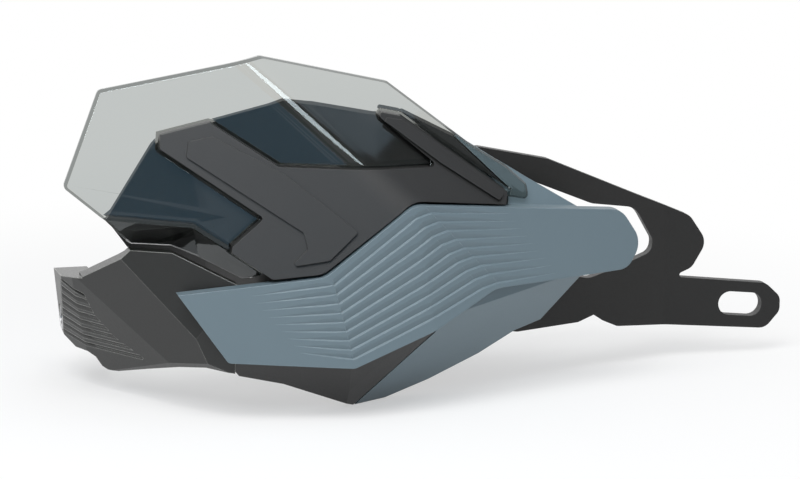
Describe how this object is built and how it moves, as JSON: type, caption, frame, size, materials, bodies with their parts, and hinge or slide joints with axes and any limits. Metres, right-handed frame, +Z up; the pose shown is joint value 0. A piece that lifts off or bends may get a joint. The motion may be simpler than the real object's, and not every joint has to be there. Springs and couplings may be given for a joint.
{
  "type": "motorcycle hand guard",
  "caption": "Motorcycle hand guard with a clear smoke visor, faceted black shell, ribbed slate blue cover, finned bar end arm and slotted fork bracket.",
  "frame": {"origin": "centre of the bar end bore, in the outer face of the bar end arm", "axes": "+X inboard along the handlebar, -Y forward, +Z up"},
  "size_m": [0.2697, 0.0884, 0.1225],
  "materials": {
    "blue_plastic": "satin slate blue",
    "shell_plastic": "satin black",
    "smoke_visor": "clear smoke tint with polished edges",
    "arm_plastic": "fine grained black",
    "bush_alloy": "machined",
    "bracket_paint": "satin black powder coat",
    "fastener_steel": "zinc plated"
  },
  "bodies": {
    "root": {"front_cover": "blue_plastic", "main_shell": "shell_plastic", "visor": "smoke_visor", "bar_end_arm": "arm_plastic", "bar_end_bush": "bush_alloy", "fork_bracket": "bracket_paint", "bracket_bolts": "fastener_steel", "arm_bolts": "fastener_steel", "cover_screws": "fastener_steel"}
  },
  "joints": []
}
